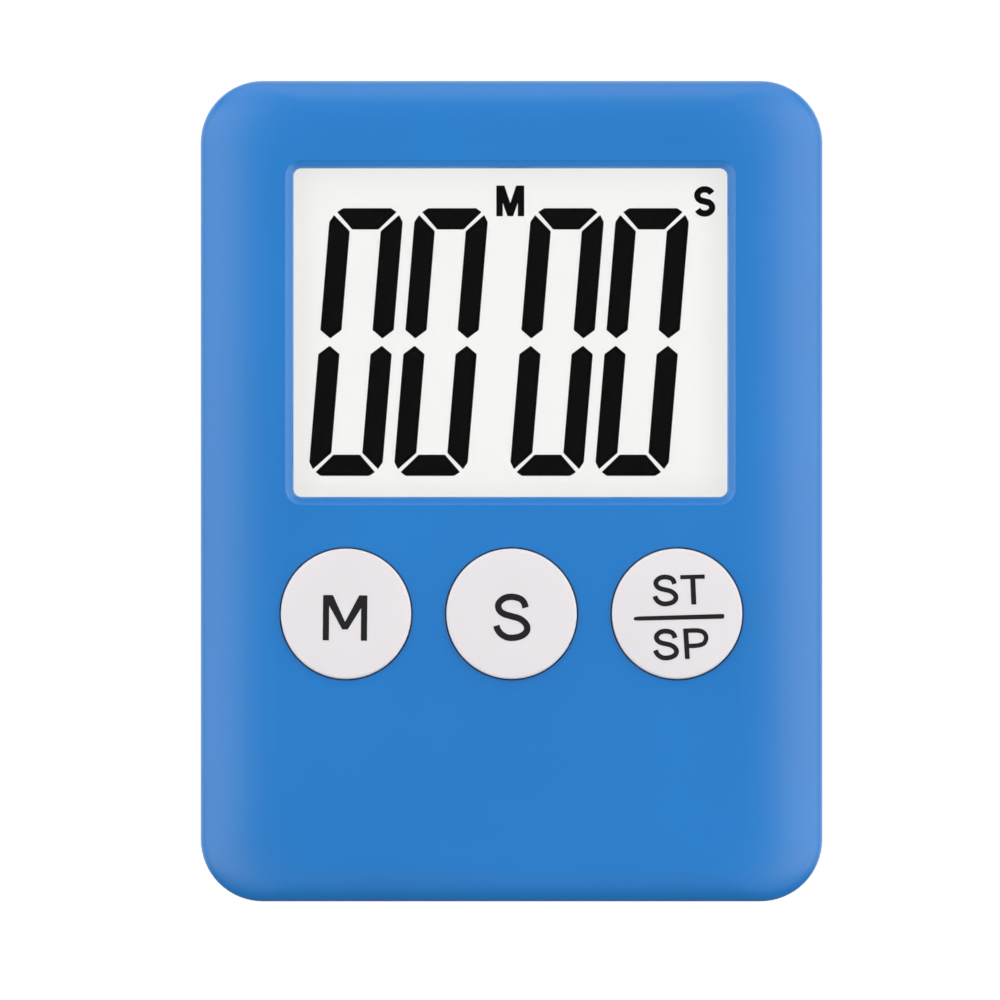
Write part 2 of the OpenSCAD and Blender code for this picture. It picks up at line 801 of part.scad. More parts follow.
module carbon_pill_m() carbon_pill(button_xs[0]);
module carbon_pill_s() carbon_pill(button_xs[1]);
module carbon_pill_stsp() carbon_pill(button_xs[2]);

// cap, flange and plunger in one moulding; the slot in the flange keeps the legend upright
module push_button(x) color(cap_white) difference() {
  turned([x, button_z], [[0, -cap_proud], [cap_dia / 2 - cap_chamfer, -cap_proud],
    [cap_dia / 2, cap_chamfer - cap_proud], [cap_dia / 2, flange_d], [flange_r, flange_d],
    [flange_r, flange_d + flange_t], [plunger_r, flange_d + flange_t],
    [plunger_r, dome_d - gap], [0, dome_d - gap]]);
  block(x, key_w + 2 * key_slack, button_z + key_in - key_slack, button_z + flange_r + through,
    flange_d - eps, flange_d + flange_t + eps);
}

module button_m() push_button(button_xs[0]);
module button_s() push_button(button_xs[1]);
module button_stsp() push_button(button_xs[2]);

// ---- buzzer ----

module buzzer_disc() color(brass) {
  rod([0, buzzer_z], buzzer_r, buzzer_d, buzzer_d + buzzer_t);
}

module buzzer_ceramic() color(cap_white) {
  rod([0, buzzer_z], ceramic_r, buzzer_d - buzzer_t, buzzer_d);
}

// one wire from the ceramic and one from the disc, down to the board
buzzer_routes = [
  [[2, 8, 62.5], [6, 7.6, 64.5], [11, 7.3, 65.5], [13.2, wire_rest, 66.4]],
  [[7.6, 8.18, 58], [9.6, 7.6, 55.4], [11, 7.3, 53.6], [12.4, wire_rest, 52.2]]
];

module buzzer_wires() color(wire_red) {
  for (route = buzzer_routes) wire(route, wire_r);
}

// ---- battery ----

module battery_cell() color(steel) {
  can_r = cell_dia / 2;
  gasket_d = cell_d + cell_cap_t;
  can_d = gasket_d + cell_gasket_t;
  cell_end = cell_d + cell_t;
  turned([cell_x, cell_z], [[0, cell_d], [cell_cap_r, cell_d], [cell_cap_r, gasket_d],
    [cell_gasket_r, gasket_d], [cell_gasket_r, can_d], [can_r, can_d + cell_round],
    [can_r, cell_end - cell_round], [can_r - cell_round, cell_end], [0, cell_end]]);
}

tail_end = cell_z + well_r + well_wall + tail_out;

// leaf in the side pocket of the well, with a tail through the wall
module battery_contact_pos() color(steel) {
  leaf_z = cell_z + cell_dia / 2 + leaf_gap;
  block(cell_x, leaf_w, leaf_z, leaf_z + contact_t, leaf_d[0], leaf_d[1]);
  block(cell_x - tail_x, tail_w[0], leaf_z, tail_end, leaf_d[0], leaf_d[0] + contact_t);
}

// leaf on the floor of the well, with a sprung tongue under the cell
module battery_contact_neg() color(steel) {
  top = floor_leaf_h / 2;
  block(cell_x, floor_leaf, cell_z - top, cell_z + top, well_inside, well_inside + contact_t);
  block(cell_x + tail_x, tail_w[1], cell_z + top - root, tail_end, well_inside,
    well_inside + contact_t);
  block(cell_x, tongue_leaf[0], cell_z - tongue_leaf[1] / 2, cell_z + tongue_leaf[1] / 2,
    well_inside + contact_t, cell_d);
}

// from the tails of the contacts up over the board's lower edge
battery_routes = [
  [[15.4, 5.1, 16.5], [15.2, 6.6, 17.7], [15.2, 7, 18.6], [15.2, wire_rest, 19.6]],
  [[18.2, 4.2, 16.5], [18.4, 6.4, 17.7], [18.4, 7, 18.6], [18.4, wire_rest, 19.6]]
];

module battery_wires() color(wire_red) {
  for (route = battery_routes) wire(route, wire_r);
}

module battery_cover() color(case_blue) difference() {
  intersection() {
    rear_form();
    union() {
      block(cell_x, cover_w, -through, cover_top, cover_d, body_d + through);
      block(cell_x, cover_w + 2 * tongue, tongue_z, cover_top, tongue_d, tongue_d + tongue_t);
    }
  }
  // grooves between the grip ridges
  for (i = [0 : ridge_count - 1]) let (z = ridge_z + i * ridge_pitch)
    block(cell_x, ridge_w, z, z + ridge_h, body_d - ridge_deep, body_d + through);
}

// ---- stand and magnets ----

module stand() color(case_blue) difference() {
  union() {
    slab(stand_front, stand_rear) translate([0, (stand_foot + hinge_z + heel) / 2])
      rounded(stand_w, hinge_z + heel - stand_foot, stand_corner);
    // square shoulders at the hinge end
    block(0, stand_w, hinge_z - shoulder_h, hinge_z + heel, stand_front, stand_rear);
    translate([0, hinge_d - face_back, hinge_z]) rotate([0, 90, 0]) {
      cylinder(h = stand_w, r = barrel_r, center = true);
      cylinder(h = stand_w + 2 * pin_len, r = pin_r, center = true);
    }
  }
  // sunk panel on the outside and a nail lip at the free end
  slab(stand_rear - panel_deep, stand_rear + through) translate([0, (panel_z[0] + panel_z[1]) / 2])
    rounded(stand_w - 2 * panel_in, panel_z[1] - panel_z[0], panel_r);
  block(0, nail_w, stand_foot - nail_h, stand_foot + nail_h, stand_front - through,
    stand_front + nail_deep);
}

module magnet(s) color(steel) {
  turned([s * magnet_x, magnet_z], [[0, body_d - magnet_t], [magnet_r, body_d - magnet_t],
    [magnet_r, body_d - magnet_chamfer], [magnet_r - magnet_chamfer, body_d], [0, body_d]]);
}

module magnet_left() magnet(-1);
module magnet_right() magnet(1);

// ---- drawing ----

front_shell();
rear_shell();
window_lens();
lens_adhesive();
lcd_polarizer();
lcd_front_glass();
lcd_segments();
lcd_seal();
lcd_rear_glass();
lcd_reflector();
lcd_cushion();
zebra_strip();
circuit_board();
contact_pads();
chip_blob();
crystal_can();
capacitors();
resistors();
transistor();
board_screws();
rubber_keypad();
carbon_pill_m();
carbon_pill_s();
carbon_pill_stsp();
button_m();
button_s();
button_stsp();
case_screws();
buzzer_disc();
buzzer_ceramic();
buzzer_wires();
battery_cell();
battery_contact_pos();
battery_contact_neg();
battery_wires();
battery_cover();
stand();
magnet_left();
magnet_right();
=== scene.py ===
"""Pocket lab timer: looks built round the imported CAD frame. Lengths below are in millimetres
unless a name ends in _m; P() turns (x, depth behind the front face, z) into the row frame."""
import math

import bmesh
import bpy
from mathutils import Matrix, Vector


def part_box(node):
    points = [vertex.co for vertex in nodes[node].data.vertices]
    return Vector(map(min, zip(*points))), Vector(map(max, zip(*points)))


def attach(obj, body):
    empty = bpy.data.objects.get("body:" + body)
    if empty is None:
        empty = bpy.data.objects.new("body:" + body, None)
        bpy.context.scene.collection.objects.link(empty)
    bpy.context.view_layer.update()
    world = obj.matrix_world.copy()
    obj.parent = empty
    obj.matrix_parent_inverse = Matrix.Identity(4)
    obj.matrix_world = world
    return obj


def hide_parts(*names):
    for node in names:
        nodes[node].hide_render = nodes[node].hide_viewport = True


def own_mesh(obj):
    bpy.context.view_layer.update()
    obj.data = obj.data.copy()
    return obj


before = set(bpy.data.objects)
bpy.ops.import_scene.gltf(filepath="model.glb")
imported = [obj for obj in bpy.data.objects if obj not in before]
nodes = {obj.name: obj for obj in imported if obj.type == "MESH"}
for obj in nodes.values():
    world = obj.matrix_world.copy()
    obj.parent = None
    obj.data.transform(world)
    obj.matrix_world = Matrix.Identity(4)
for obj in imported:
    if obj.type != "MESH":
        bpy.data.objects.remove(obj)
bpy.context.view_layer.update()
scene = bpy.context.scene
MM = 0.001


def span(node):
    """A CAD node's lowest and highest corner in millimetres."""
    lo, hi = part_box(node)
    return [c / MM for c in lo], [c / MM for c in hi]


shell_lo, shell_hi = span("front_shell")
lens_lo, lens_hi = span("window_lens")
FACE_Y = shell_lo[1]
BODY_W = shell_hi[0] - shell_lo[0]
BODY_H = shell_hi[2] - shell_lo[2]
MID_Z = (shell_lo[2] + shell_hi[2]) / 2
PARTING = shell_hi[1] - FACE_Y
WINDOW_X = (lens_lo[0] + lens_hi[0]) / 2
WINDOW_Z = (lens_lo[2] + lens_hi[2]) / 2
LENS_OVERLAP = 1.8  # how much wider the lens is than the window
WINDOW_W = lens_hi[0] - lens_lo[0] - LENS_OVERLAP
WINDOW_H = lens_hi[2] - lens_lo[2] - LENS_OVERLAP


def P(x, d, z):
    return Vector((x * MM, (d + FACE_Y) * MM, z * MM))


# ---------------------------------------------------------------- mesh helpers

def new_object(name, bm, sharp=35.0, weighted=False):
    bmesh.ops.recalc_face_normals(bm, faces=bm.faces)
    mesh = bpy.data.meshes.new(name)
    bm.to_mesh(mesh)
    bm.free()
    obj = bpy.data.objects.new(name, mesh)
    scene.collection.objects.link(obj)
    soften(obj, sharp, weighted)
    return obj


def soften(obj, sharp=35.0, weighted=False):
    mesh = obj.data
    mesh.shade_smooth()
    mesh.set_sharp_from_angle(angle=math.radians(sharp))
    if weighted:
        mod = obj.modifiers.new("normals", "WEIGHTED_NORMAL")
        mod.keep_sharp = True
        mod.weight = 80


def outline(w, h, r, arc=16, run=6):
    """Points round a rounded rectangle about the origin, the same count for any size."""
    pts = []
    corners = ((1, 1, 0), (-1, 1, 90), (-1, -1, 180), (1, -1, 270))
    for i, (sx, sz, a0) in enumerate(corners):
        cx, cz = sx * (w / 2 - r), sz * (h / 2 - r)
        for k in range(arc + 1):
            a = math.radians(a0 + 90 * k / arc)
            pts.append((cx + r * math.cos(a), cz + r * math.sin(a)))
        nsx, nsz, na = corners[(i + 1) % 4]
        nx = nsx * (w / 2 - r) + r * math.cos(math.radians(na))
        nz = nsz * (h / 2 - r) + r * math.sin(math.radians(na))
        px, pz = pts[-1]
        for k in range(1, run):
            t = k / run
            pts.append((px + (nx - px) * t, pz + (nz - pz) * t))
    return pts


def loft(bm, rings, cap=True):
    """Skins rings of equal count; each ring is a list of vectors in metres."""
    rows = [[bm.verts.new(p) for p in ring] for ring in rings]
    n = len(rows[0])
    for a, b in zip(rows, rows[1:]):
        for i in range(n):
            j = (i + 1) % n
            bm.faces.new((a[i], a[j], b[j], b[i]))
    if cap:
        bm.faces.new(rows[0])
        bm.faces.new(reversed(rows[-1]))
    return rows


def turned(bm, x, z, profile, steps=96, closed=False):
    """Turns [radius, depth] points about an axis along the depth. Radius 0 makes a pole."""
    rows = []
    for r, d in profile:
        if r < 1e-6:
            rows.append([bm.verts.new(P(x, d, z))])
            continue
        rows.append([
            bm.verts.new(P(x + r * math.cos(a), d, z + r * math.sin(a)))
            for a in (math.tau * k / steps for k in range(steps))
        ])
    pairs = list(zip(rows, rows[1:]))
    if closed:
        pairs.append((rows[-1], rows[0]))
    for a, b in pairs:
        for k in range(steps):
            j = (k + 1) % steps
            if len(a) == 1 and len(b) == 1:
                continue
            if len(a) == 1:
                bm.faces.new((a[0], b[j], b[k]))
            elif len(b) == 1:
                bm.faces.new((a[k], a[j], b[0]))
            else:
                bm.faces.new((a[k], a[j], b[j], b[k]))


def arc_points(cx, cy, r, a0, a1, steps):
    return [
        (cx + r * math.cos(math.radians(a0 + (a1 - a0) * k / steps)),
         cy + r * math.sin(math.radians(a0 + (a1 - a0) * k / steps)))
        for k in range(steps + 1)
    ]


def boolean(obj, cutter_bm, operation, name):
    mesh = bpy.data.meshes.new(name)
    bmesh.ops.recalc_face_normals(cutter_bm, faces=cutter_bm.faces)
    cutter_bm.to_mesh(mesh)
    cutter_bm.free()
    cutter = bpy.data.objects.new(name, mesh)
    scene.collection.objects.link(cutter)
    mod = obj.modifiers.new(name, "BOOLEAN")
    mod.operation = operation
    mod.solver = "EXACT"
    mod.object = cutter
    graph = bpy.context.evaluated_depsgraph_get()
    result = bpy.data.meshes.new_from_object(obj.evaluated_get(graph), depsgraph=graph)
    obj.modifiers.clear()
    old = obj.data
    obj.data = result
    bpy.data.meshes.remove(old)
    bpy.data.objects.remove(cutter)
    bpy.data.meshes.remove(mesh)


def box_island(bm, x0, x1, d0, d1, z0, z1):
    rings = [[P(x, d, z) for x, z in ((x0, z0), (x1, z0), (x1, z1), (x0, z1))] for d in (d0, d1)]
    loft(bm, rings)


# ---------------------------------------------------------------- materials

# tint of the painted glow: light emitted by the display's white backing and its edge seal, which
# are no lamps
PAINTED_GLOW_TINT = (1, 1, 0.985)


def material(name, base, rough=0.4, metallic=0.0, spec=0.5, tint=0.06, tint_scale=120.0,
             grain=1500.0, bump=0.08, bump_mm=0.01, rough_var=0.06, glow=0.0,
             stretch=(1, 1, 1), dark=None, edge_mm=0.0):
    """A procedural finish: slow colour drift, fine grain in the bump and the roughness, and
    edges that shade as if broken by edge_mm."""
    mat = bpy.data.materials.new(name)
    mat.use_nodes = True
    tree = mat.node_tree
    tree.nodes.clear()
    add = tree.nodes.new
    link = tree.links.new
    out = add("ShaderNodeOutputMaterial")
    shader = add("ShaderNodeBsdfPrincipled")
    shader.inputs["Metallic"].default_value = metallic
    shader.inputs["Specular IOR Level"].default_value = spec
    # glow is painted light: emission from a surface that is no lamp
    shader.inputs["Emission Color"].default_value = (*PAINTED_GLOW_TINT, 1)
    shader.inputs["Emission Strength"].default_value = glow
    coord = add("ShaderNodeTexCoord")
    mapping = add("ShaderNodeMapping")
    mapping.inputs["Scale"].default_value = stretch
    link(coord.outputs["Object"], mapping.inputs["Vector"])
    drift = add("ShaderNodeTexNoise")
    drift.inputs["Scale"].default_value = tint_scale
    drift.inputs["Detail"].default_value = 4
    link(mapping.outputs["Vector"], drift.inputs["Vector"])
    ramp = add("ShaderNodeValToRGB")
    low = dark or [c * (1 - tint) for c in base]
    ramp.color_ramp.elements[0].position = 0.3
    ramp.color_ramp.elements[1].position = 0.7
    ramp.color_ramp.elements[0].color = (*low, 1)
    ramp.color_ramp.elements[1].color = (*[min(1, c * (1 + tint * 0.4)) for c in base], 1)
    link(drift.outputs["Fac"], ramp.inputs["Fac"])
    link(ramp.outputs["Color"], shader.inputs["Base Color"])
    fine = add("ShaderNodeTexNoise")
    fine.inputs["Scale"].default_value = grain
    fine.inputs["Detail"].default_value = 3
    link(mapping.outputs["Vector"], fine.inputs["Vector"])
    spread = add("ShaderNodeMapRange")
    spread.inputs["To Min"].default_value = max(0.02, rough - rough_var)
    spread.inputs["To Max"].default_value = min(1, rough + rough_var)
    link(fine.outputs["Fac"], spread.inputs["Value"])
    link(spread.outputs["Result"], shader.inputs["Roughness"])
    relief = add("ShaderNodeBump")
    relief.inputs["Strength"].default_value = bump
    relief.inputs["Distance"].default_value = bump_mm * MM
    link(fine.outputs["Fac"], relief.inputs["Height"])
    if edge_mm:
        edges = add("ShaderNodeBevel")
        edges.samples = 4
        edges.inputs["Radius"].default_value = edge_mm * MM
        link(edges.outputs["Normal"], relief.inputs["Normal"])
    link(relief.outputs["Normal"], shader.inputs["Normal"])
    link(shader.outputs["BSDF"], out.inputs["Surface"])
    return mat, tree, shader, ramp, mapping


def clear_material(name, tint=(1, 1, 1), gloss=1.0, rough=0.03):
    """A clear sheet: light goes straight through, with a thin mirror sheen from its surface."""
    mat = bpy.data.materials.new(name)
    mat.use_nodes = True
    tree = mat.node_tree
    tree.nodes.clear()
    add = tree.nodes.new
    link = tree.links.new
    out = add("ShaderNodeOutputMaterial")
    coord = add("ShaderNodeTexCoord")
    haze = add("ShaderNodeTexNoise")
    haze.inputs["Scale"].default_value = 260
    link(coord.outputs["Object"], haze.inputs["Vector"])
    spread = add("ShaderNodeMapRange")
    spread.inputs["To Min"].default_value = rough
    spread.inputs["To Max"].default_value = rough + 0.05
    link(haze.outputs["Fac"], spread.inputs["Value"])
    through = add("ShaderNodeBsdfTransparent")
    through.inputs["Color"].default_value = (*tint, 1)
    shine = add("ShaderNodeBsdfGlossy")
    shine.inputs["Color"].default_value = (1, 1, 1, 1)
    link(spread.outputs["Result"], shine.inputs["Roughness"])
    fresnel = add("ShaderNodeFresnel")
    fresnel.inputs["IOR"].default_value = 1 + 0.49 * gloss
    mix = add("ShaderNodeMixShader")
    link(fresnel.outputs["Fac"], mix.inputs["Fac"])
    link(through.outputs["BSDF"], mix.inputs[1])
    link(shine.outputs["BSDF"], mix.inputs[2])
    link(mix.outputs["Shader"], out.inputs["Surface"])
    return mat


def simple(name, base, **kw):
    return material(name, base, **kw)[0]


BLUE = (0.0052, 0.155, 0.47)
SHELL = dict(rough=0.36, spec=0.57, tint=0.05, tint_scale=60, grain=2600, bump=0.05,
             bump_mm=0.006, rough_var=0.04)
M = {
    "shell": simple("shell_blue", BLUE, **SHELL),
    "back": simple("shell_blue_back", BLUE, edge_mm=0.25, **SHELL),
    "cap": simple("button_cap_white", (0.645, 0.617, 0.635), rough=0.42, tint=0.02,
                  tint_scale=150, grain=2600, bump=0.04, bump_mm=0.005),
    "ink": simple("legend_ink", (0.005, 0.005, 0.007), rough=0.6, spec=0.22, tint=0.25,
                  tint_scale=900, grain=5000, bump=0.1, bump_mm=0.005),
    "segment": simple("lcd_dark", (0.0015, 0.0015, 0.0015), rough=0.9, spec=0.0, tint=0.3,
                      tint_scale=700, bump=0.02, bump_mm=0.002),
    # the display's white backing: a dim white base plus a painted glow, so it shows evenly white
    # with no shade at its edges though it is no lamp
    "panel": simple("lcd_backing_white_painted_glow", (0.25, 0.25, 0.25), rough=0.85, spec=0.1, tint=0.008,
                    tint_scale=90, grain=4000, bump=0.02, bump_mm=0.002, glow=0.765),
    "lens": clear_material("window_acrylic", (0.996, 0.996, 0.996), gloss=0.5),
    "film": clear_material("polarizer_film", (0.99, 0.99, 0.988), gloss=0.08, rough=0.25),
    "glass": clear_material("display_glass", (0.992, 0.992, 0.99), gloss=0.08, rough=0.05),
    "tape": simple("black_tape", (0.012, 0.012, 0.012), rough=0.8, tint=0.3, bump=0.2),
    # the display's edge seal: a grey base plus a painted glow, so it shows as bright as the
    # display's white though it is no lamp
    "seal": simple("edge_seal_painted_glow", (0.25, 0.25, 0.25), rough=0.55, tint=0.02, glow=0.7),
    "foam": simple("black_foam", (0.02, 0.02, 0.02), rough=0.95, tint=0.4, tint_scale=2500,
                   grain=3200, bump=0.8, bump_mm=0.06),
    "board": simple("solder_mask", (0.012, 0.14, 0.05), rough=0.32, tint=0.35, tint_scale=500,
                    grain=1800, bump=0.25, bump_mm=0.015),
    "carbon": simple("carbon_black", (0.018, 0.018, 0.02), rough=0.7, tint=0.3, tint_scale=2500),
    "epoxy": simple("blob_epoxy", (0.008, 0.008, 0.008), rough=0.16, tint=0.2, grain=700, bump=0.2,
                    bump_mm=0.03),
    "steel": simple("plated_steel", (0.62, 0.62, 0.6), rough=0.32, metallic=1, tint=0.12,
                    tint_scale=900, grain=4000, bump=0.08, stretch=(1, 1, 4), edge_mm=0.08),
    "tin": simple("tinned_strip", (0.7, 0.7, 0.67), rough=0.26, metallic=1, tint=0.1,
                  tint_scale=1200, edge_mm=0.08),
    "ceramic": simple("chip_ceramic_tan", (0.42, 0.27, 0.14), rough=0.5, tint=0.15,
                      tint_scale=2000, edge_mm=0.08),
    "chip": simple("chip_black", (0.015, 0.015, 0.016), rough=0.55, tint=0.3,
                   tint_scale=2500, edge_mm=0.08),
    "rubber": simple("keypad_silicone", (0.5, 0.52, 0.54), rough=0.6, tint=0.06, tint_scale=400),
    "brass": simple("buzzer_brass", (0.72, 0.5, 0.16), rough=0.3, metallic=1, tint=0.12,
                    tint_scale=700, stretch=(1, 1, 5)),
    "silver": simple("buzzer_silvering", (0.72, 0.71, 0.68), rough=0.5, tint=0.08,
                     tint_scale=900),
    "pvc_red": simple("wire_red", (0.42, 0.01, 0.01), rough=0.35, tint=0.1, tint_scale=1500),
    "pvc_black": simple("wire_black", (0.012, 0.012, 0.012), rough=0.35, tint=0.2,
                        tint_scale=1500),
    "nickel": simple("cell_nickel", (0.7, 0.69, 0.66), rough=0.22, metallic=1, tint=0.03,
                     tint_scale=500, grain=3500, bump=0.05, edge_mm=0.2),
    "magnet": simple("magnet_nickel", (0.62, 0.62, 0.62), rough=0.24, metallic=1, tint=0.03,
                     tint_scale=300, grain=2500, bump=0.06, edge_mm=0.2),
}


def zebra_material():
    """Thin carbon and silicone layers side by side along the strip."""
    mat, tree, shader, ramp, mapping = material(
        "zebra_layers", (0.42, 0.42, 0.45), rough=0.7, dark=(0.03, 0.03, 0.03))
    wave = tree.nodes.new("ShaderNodeTexWave")
    wave.bands_direction = "X"
    wave.inputs["Scale"].default_value = 800
    tree.links.new(mapping.outputs["Vector"], wave.inputs["Vector"])
    tree.links.new(wave.outputs["Fac"], ramp.inputs["Fac"])
    return mat


M["zebra"] = zebra_material()

CAD_LOOK = {
    "rear_shell": "back", "window_lens": "lens", "lens_adhesive": "tape",
    "lcd_polarizer": "film", "lcd_front_glass": "glass", "lcd_segments": "segment",
    "lcd_seal": "seal", "lcd_rear_glass": "panel", "lcd_reflector": "panel",
    "lcd_cushion": "foam", "zebra_strip": "zebra", "circuit_board": "board",
    "contact_pads": "carbon", "chip_blob": "epoxy", "crystal_can": "steel",
    "capacitors": "ceramic", "resistors": "chip", "transistor": "chip", "board_screws": "steel",
    "carbon_pill_m": "carbon", "carbon_pill_s": "carbon", "carbon_pill_stsp": "carbon",
    "case_screws": "steel", "buzzer_disc": "brass", "buzzer_ceramic": "silver",
    "battery_cell": "nickel", "battery_contact_pos": "tin", "battery_contact_neg": "tin",
    "battery_cover": "back", "stand": "back", "magnet_left": "magnet",
    "magnet_right": "magnet", "front_shell": "shell", "button_m": "cap", "button_s": "cap",
    "button_stsp": "cap", "rubber_keypad": "rubber", "buzzer_wires": "pvc_red",
    "battery_wires": "pvc_red",
}


def dress(obj, look):
    obj.data.materials.clear()
    obj.data.materials.append(M[look])


for node_name, look in CAD_LOOK.items():
    dress(nodes[node_name], look)

# the printed segments lie against both glasses, so they shade from just inside the front one
SINK_MM = 0.03
sink = nodes["lcd_segments"].modifiers.new("sink", "DISPLACE")
sink.direction = "Y"
sink.mid_level = 0.0
sink.strength = -SINK_MM * MM


def finish_piece(obj, body, look, slot_name, *replaced):
    dress(obj, look)
    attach(obj, body)
    if replaced:
        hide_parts(*replaced)
    return obj


# ---------------------------------------------------------------- front shell

# how far the rounded front edge reaches inward at the sides and at the top, and how deep it is
EDGE_SIDE, EDGE_TOP, EDGE_DEPTH = 8.0, 4.0, 2.4
CORNER_R, WALL, SEAM = 5.5, 1.6, 0.15
# the window's slope has a small step at its outer edge and a shelf before it drops to the lens
BEVEL_W, BEVEL_D = 0.7, 0.6
STEP_IN, STEP_D, STEP_R = 0.55, 0.13, 0.14
SHELF = (0.14, 0.23)
WINDOW_R, WINDOW_LAND = 0.7, 0.03
LIP_D, POCKET_OUT, POCKET_D, POCKET_TIGHTER = 0.7, 1.0, 3.0, 0.5
CLEAR_OF_FACE = -1.0  # cutters start this far in front
FACE_SKIM = 0.0006  # keeps rounded rims from ending exactly on the face
BUTTON_R, HOLE_R, HOLE_RIM, HOLE_END = 5.75, 5.85, 0.12, 1.65
BUTTONS = {
    name: [(lo + hi) / 2 for lo, hi in zip(*span(name))]
    for name in ("button_m", "button_s", "button_stsp")
}
BOSS_ROOT, RIB_ROOT, PILOT_END, PILOT_PAST = 1.3, 1.4, 2.9, 1.2
CASE_BOSSES = ((-23.0, 68.1), (23.0, 68.1), (-23.0, 4.5), (23.4, 21.0))
CASE_BOSS_R, CASE_BOSS_END, CASE_PILOT_R = 2.0, 7.3, 1.0
BOARD_BOSSES = ((-23.6, 45.0), (23.6, 45.0), (-23.6, 31.0), (23.6, 31.0))
BOARD_BOSS_R, BOARD_BOSS_END, BOARD_PILOT_R = 1.9, 5.4, 0.8
KEY_RIB_HALF, KEY_RIB_END, KEY_RIB_Z = 0.5, 2.45, (6.0, 6.7)
# ribs round the display glass: from x, to x, depth they end at, from z, to z
GLASS_RIBS = (
    (-21.35, -20.55, 3.36, 38, 62),
    (20.55, 21.35, 3.36, 38, 62),
    (-17, -11, 2.6, 32.45, 33.25),
    (11, 17, 2.6, 32.45, 33.25),
    (-15, 15, 3.36, 66.15, 66.95),
)


def case_ring(ix, iz, r, d):
    return [P(x, d, z + MID_Z) for x, z in outline(BODY_W - 2 * ix, BODY_H - 2 * iz, r)]


def half_rings(inner, steps):
    """Rings from the front face round the edge, inset by the wall when inner."""
    rings = []
    for k in range(steps + 1):
        t = math.radians(90 * k / steps)
        side = inner + (EDGE_SIDE - inner) * (1 - math.sin(t))
        top = inner + (EDGE_TOP - inner) * (1 - math.sin(t))
        rings.append(case_ring(side, top, CORNER_R - inner,
                               EDGE_DEPTH - (EDGE_DEPTH - inner) * math.cos(t)))
    return rings


def window_ring(off, d, extra=0.0):
    pts = outline(WINDOW_W + 2 * off, WINDOW_H + 2 * off, WINDOW_R + off + extra, arc=10, run=4)
    return [P(x + WINDOW_X, d, z + WINDOW_Z) for x, z in pts]


def add_rods(bm, places, r, d0, d1, steps):
    for x, z in places:
        turned(bm, x, z, [(0, d0), (r, d0), (r, d1), (0, d1)], steps)


def shell_inner_parts():
    """Bosses for the screws, keys for the buttons and ribs round the display glass."""
    bm = bmesh.new()
    add_rods(bm, CASE_BOSSES, CASE_BOSS_R, BOSS_ROOT, CASE_BOSS_END, 48)
    add_rods(bm, BOARD_BOSSES, BOARD_BOSS_R, BOSS_ROOT, BOARD_BOSS_END, 48)
    for c in BUTTONS.values():
        box_island(bm, c[0] - KEY_RIB_HALF, c[0] + KEY_RIB_HALF, RIB_ROOT, KEY_RIB_END,
                   c[2] + KEY_RIB_Z[0], c[2] + KEY_RIB_Z[1])
    for x0, x1, end, z0, z1 in GLASS_RIBS:
        box_island(bm, x0, x1, RIB_ROOT, end, z0, z1)
    return bm


def window_cutter(bm):
    turn = math.degrees(math.atan2(STEP_D, BEVEL_W - STEP_IN))
    start = BEVEL_W + STEP_R * math.tan(math.radians(turn / 2))
    rings = [window_ring(start + 0.2, CLEAR_OF_FACE)]
    for off, d in arc_points(start, STEP_R, STEP_R, 270, 270 - turn, 5):
        rings.append(window_ring(off, max(d, FACE_SKIM)))
    rings += [window_ring(STEP_IN, STEP_D), window_ring(*SHELF)]
    rings += [window_ring(WINDOW_LAND, BEVEL_D), window_ring(0, LIP_D)]
    rings += [window_ring(POCKET_OUT, d, -POCKET_TIGHTER) for d in (LIP_D, POCKET_D)]
    loft(bm, rings)


def shell_openings():
    """The window with its lens pocket, the button holes and the screw pilots."""
    bm = bmesh.new()
    window_cutter(bm)
    rim_arc = arc_points(HOLE_R + HOLE_RIM, HOLE_RIM, HOLE_RIM, 270, 180, 5)
    rim = [(r, max(d, FACE_SKIM)) for r, d in rim_arc]
    mouth = HOLE_R + HOLE_RIM + 0.18
    for c in BUTTONS.values():
        turned(bm, c[0], c[2], [(0, CLEAR_OF_FACE), (mouth, CLEAR_OF_FACE)] + rim
               + [(HOLE_R, HOLE_END), (0, HOLE_END)], 128)
    add_rods(bm, CASE_BOSSES, CASE_PILOT_R, PILOT_END, CASE_BOSS_END + PILOT_PAST, 32)
    add_rods(bm, BOARD_BOSSES, BOARD_PILOT_R, PILOT_END, BOARD_BOSS_END + PILOT_PAST, 32)
    return bm


def build_front_shell():
    bm = bmesh.new()
    outer = half_rings(0.0, 24)
    outer += [case_ring(0, 0, CORNER_R, PARTING - SEAM), case_ring(SEAM, SEAM, CORNER_R, PARTING)]
    inner = half_rings(WALL, 10)
    inner.append(case_ring(WALL, WALL, CORNER_R - WALL, PARTING))
    loft(bm, outer + inner[::-1])
    obj = new_object("front_shell_skin", bm)
    boolean(obj, shell_inner_parts(), "UNION", "inner_parts")
    boolean(obj, shell_openings(), "DIFFERENCE", "openings")
    soften(obj, 32, weighted=True)
    return finish_piece(obj, "case", "shell", "shell_abs", "front_shell")


build_front_shell()

# ---------------------------------------------------------------- buttons and legends

CAP_D = span("button_s")[0][1] - FACE_Y
CAP_RIM = 0.22
FLANGE_R, FLANGE_D0, FLANGE_D1, FLANGE_EASE = 6.6, 1.65, 2.45, 0.1
STEM_R, STEM_D = 2.0, 3.2
KEY_SLOT_HALF, KEY_SLOT_D, KEY_SLOT_Z = 0.65, (1.66, 2.6), (5.85, 7.5)


